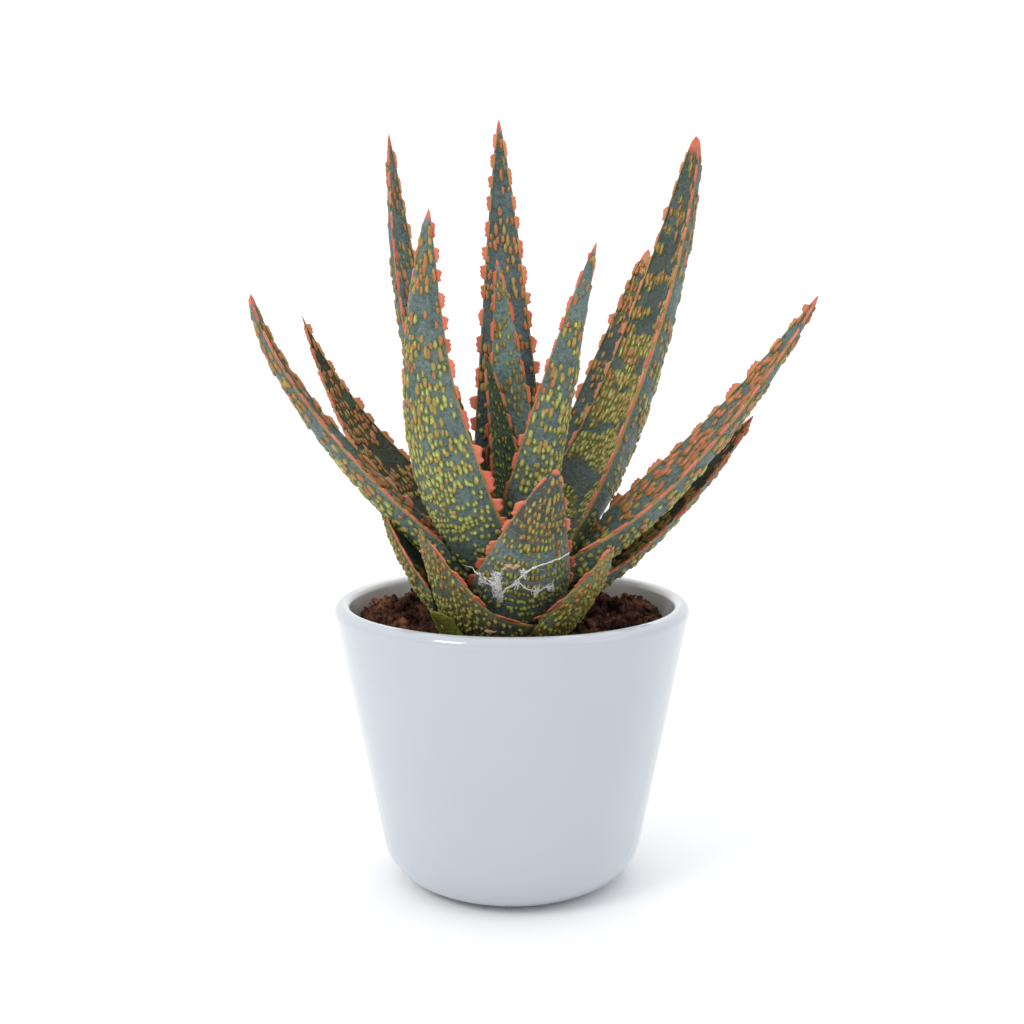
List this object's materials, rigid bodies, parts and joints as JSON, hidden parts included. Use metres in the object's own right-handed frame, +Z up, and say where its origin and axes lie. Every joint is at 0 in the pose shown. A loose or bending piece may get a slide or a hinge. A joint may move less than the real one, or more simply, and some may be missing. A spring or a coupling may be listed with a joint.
{
  "type": "potted zebra aloe",
  "caption": "Young zebra aloe with a rosette of thick toothed leaves with raised dashes, rooted in dark soil in a round glazed pot.",
  "frame": {"origin": "centre of the pot's flat foot, on the surface it rests on", "axes": "+Z up, the pot's own axis; -Y towards the picture's viewer, +X to the viewer's right"},
  "size_m": [0.1601, 0.1125, 0.226],
  "materials": {
    "pot": "glossy",
    "soil": "matte",
    "stem": "matte",
    "leaf": "satin"
  },
  "bodies": {
    "root": {"pot": "pot", "soil": "soil", "stem": "stem", "leaf_inner_young": "leaf", "leaf_inner_left": "leaf", "leaf_inner_centre": "leaf", "leaf_tall_front_right": "leaf", "leaf_tall_centre": "leaf", "leaf_tall_front_left": "leaf", "leaf_tall_right": "leaf", "leaf_tall_left": "leaf", "leaf_tall_right_behind": "leaf", "leaf_low_right": "leaf", "leaf_low_left": "leaf", "leaf_low_left_behind": "leaf", "leaf_back_left": "leaf", "leaf_back_right": "leaf", "leaf_front_centre": "leaf", "leaf_low_right_under": "leaf", "leaf_back_right_low": "leaf", "leaf_back_left_low": "leaf", "leaf_back_centre_low": "leaf", "leaf_front_left": "leaf", "leaf_front_right": "leaf", "leaf_low_left_short": "leaf", "leaf_small_front_left": "leaf"}
  },
  "joints": []
}
